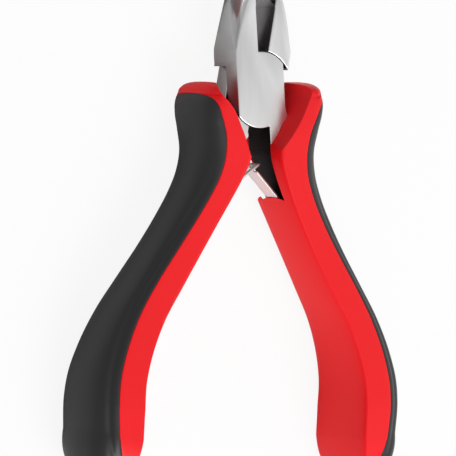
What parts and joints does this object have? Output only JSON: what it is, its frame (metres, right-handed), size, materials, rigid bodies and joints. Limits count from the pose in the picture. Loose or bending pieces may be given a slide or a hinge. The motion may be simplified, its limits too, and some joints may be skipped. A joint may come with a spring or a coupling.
{
  "type": "bent nose pliers",
  "caption": "Small pliers with a tapered nose bent sideways, a riveted lap joint, crossed leaf springs and red two-part grips with black soft pads.",
  "frame": {"origin": "centre of the pivot, at mid thickness of the head", "axes": "+Y to the nose, +Z along the pivot to the side the nose is bent to, +X to the grip on the right seen from +Z"},
  "size_m": [0.0868, 0.1238, 0.0191],
  "materials": {
    "steel": "satin, fine ground faces",
    "rivet_steel": "satin",
    "spring_steel": "bright",
    "red_grip": "smooth, half gloss",
    "black_pad": "smooth soft plastic"
  },
  "bodies": {
    "left_handle_half": {"back_lever": "steel", "left_grip_shell": "red_grip", "left_grip_pad": "black_pad", "slotted_spring": "spring_steel", "left_spring_rivet": "rivet_steel"},
    "right_handle_half": {"front_lever": "steel", "pivot_rivet": "rivet_steel", "right_grip_shell": "red_grip", "right_grip_pad": "black_pad", "tongue_spring": "spring_steel", "right_spring_rivet": "rivet_steel"}
  },
  "joints": [
    {"name": "pivot_hinge", "type": "hinge", "parent": "left_handle_half", "child": "right_handle_half", "pos_m": [0, 0, 0], "axis": [0, 0, -1], "range_deg": [-4, 15.6], "stiffness_Nm_per_rad": 1.2, "deforming": ["slotted_spring", "tongue_spring"]}
  ]
}
